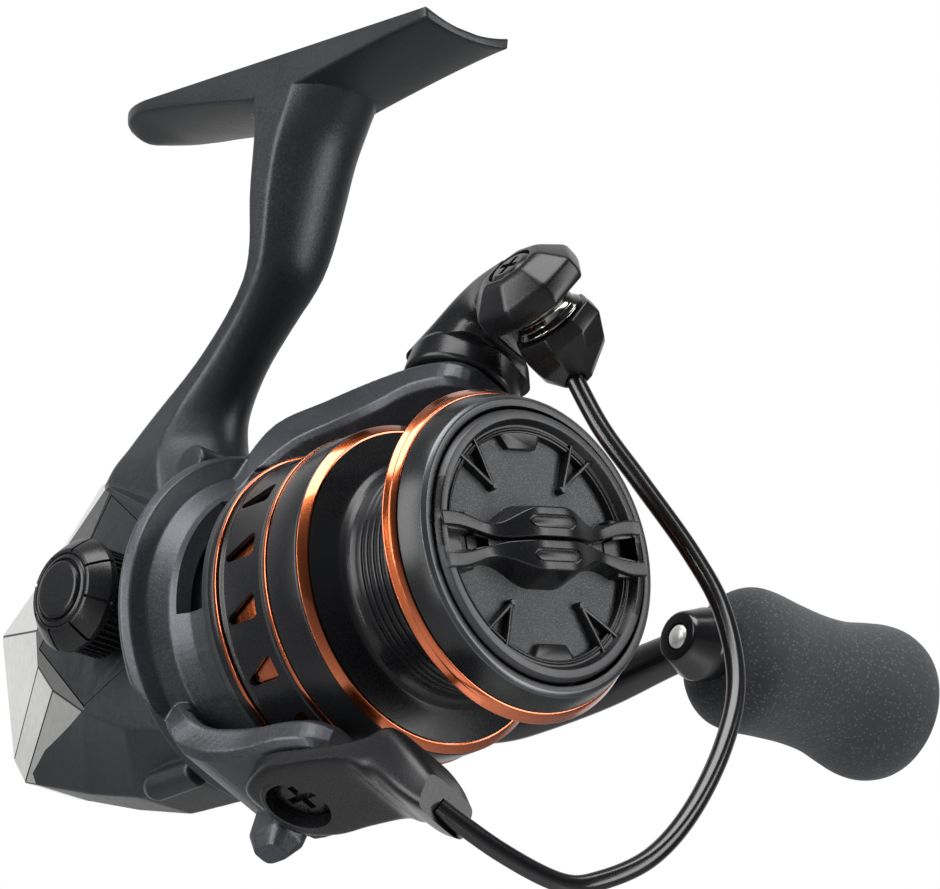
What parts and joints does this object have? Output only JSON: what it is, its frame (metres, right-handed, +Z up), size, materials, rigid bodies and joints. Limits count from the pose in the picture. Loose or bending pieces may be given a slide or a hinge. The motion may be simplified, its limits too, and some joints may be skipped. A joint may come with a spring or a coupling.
{
  "type": "spinning fishing reel",
  "caption": "Open-face spinning reel: geared crank turns a rotor with a folding bail around a spool that strokes in and out and slips on a front drag.",
  "frame": {"origin": "middle of the seat on top of the foot, where the reel meets the rod", "axes": "+Z up towards the rod, -Y forwards along the spool axis to the rod tip, +X to the crank side"},
  "size_m": [0.1105, 0.1059, 0.1245],
  "materials": {
    "rotor_grey": "satin metallic paint with a fine speckle",
    "orange_anodised": "bright anodised",
    "steel": "turned or stamped",
    "satin_black": "satin black with a fine grain",
    "bright_chrome": "polished",
    "brass": "machined",
    "gloss_black": "gloss",
    "graphite": "moulded, satin with a fine grain",
    "foam": "speckled hard foam",
    "felt": "felt or soft seal"
  },
  "bodies": {
    "frame": {"body_frame": "graphite", "rear_bumper": "bright_chrome", "side_cover": "graphite", "cover_screw_1": "steel", "cover_screw_2": "steel", "drive_bearing_left": "steel", "drive_bearing_right": "steel", "pinion_bearing": "steel", "pinion_rear_bush": "brass", "clutch_outer_race": "steel", "clutch_rollers": "steel", "clutch_retainer": "steel", "oscillation_gear_stud": "steel", "slider_guide_rod": "steel"},
    "crank": {"drive_shaft": "brass", "drive_gear": "brass", "takeoff_gear": "brass", "crank_shank": "steel", "crank_arm": "gloss_black", "crank_pin": "bright_chrome", "handle_cap": "satin_black", "handle_cap_stud": "steel"},
    "knob": {"handle_knob": "foam", "knob_bush_inner": "brass", "knob_bush_outer": "brass"},
    "rotor": {"pinion": "brass", "rotor": "rotor_grey", "rotor_collar": "orange_anodised", "rotor_nut": "steel", "clutch_inner_sleeve": "steel", "bail_spring": "steel", "bail_pivot_pin": "steel", "holder_pivot_screw": "satin_black"},
    "bail": {"bail_arm": "satin_black", "bail_holder": "satin_black", "bail_wire": "gloss_black", "bail_cone": "satin_black", "roller_screw": "steel", "roller_bush": "brass"},
    "roller": {"line_roller": "bright_chrome"},
    "oscillation": {"oscillation_gear": "satin_black"},
    "shaft": {"main_shaft": "steel", "oscillation_slider": "brass", "click_wheel": "satin_black", "drag_disc_1": "steel", "drag_disc_2": "steel"},
    "spool": {"spool": "satin_black", "lip_ring": "orange_anodised", "skirt_ring": "orange_anodised", "skirt_line_front": "orange_anodised", "skirt_line_rear": "orange_anodised", "drag_felt_1": "felt", "drag_felt_2": "felt", "drag_clip": "steel"},
    "drag_knob": {"drag_knob": "satin_black", "drag_nut": "brass", "drag_seal": "felt"}
  },
  "joints": [
    {"name": "crank_turn", "type": "hinge", "parent": "frame", "child": "crank", "pos_m": [0, 0.0205, -0.0687], "axis": [1, 0, 0], "continuous": true},
    {"name": "knob_spin", "type": "hinge", "parent": "crank", "child": "knob", "pos_m": [0.07, -0.0212, -0.0684], "axis": [1, 0, 0], "continuous": true},
    {"name": "rotor_spin", "type": "hinge", "parent": "frame", "child": "rotor", "pos_m": [0, -0.002, -0.0755], "axis": [0, 1, 0], "continuous": true},
    {"name": "bail_open", "type": "hinge", "parent": "rotor", "child": "bail", "pos_m": [0, -0.016, -0.0755], "axis": [-0.3746, 0, -0.9272], "range_deg": [0, 100]},
    {"name": "roller_spin", "type": "hinge", "parent": "bail", "child": "roller", "pos_m": [0.00611, -0.0328, -0.03342], "axis": [0.8035, 0, -0.5953], "continuous": true},
    {"name": "oscillation_turn", "type": "hinge", "parent": "frame", "child": "oscillation", "pos_m": [0.005, 0.033, -0.075], "axis": [1, 0, 0], "continuous": true},
    {"name": "spool_stroke", "type": "slide", "parent": "frame", "child": "shaft", "axis": [0, 1, 0], "range_m": [-0.0055, 0.0055]},
    {"name": "spool_slip", "type": "hinge", "parent": "shaft", "child": "spool", "pos_m": [0, -0.032, -0.0755], "axis": [0, 1, 0], "continuous": true},
    {"name": "drag_turn", "type": "hinge", "parent": "shaft", "child": "drag_knob", "pos_m": [0, -0.042, -0.0755], "axis": [0, 1, 0], "range_deg": [-180, 180]}
  ],
  "couplings": [
    {"joint": "rotor_spin", "follows": "crank_turn", "ratio": -5},
    {"joint": "oscillation_turn", "follows": "crank_turn", "ratio": -0.66667}
  ]
}
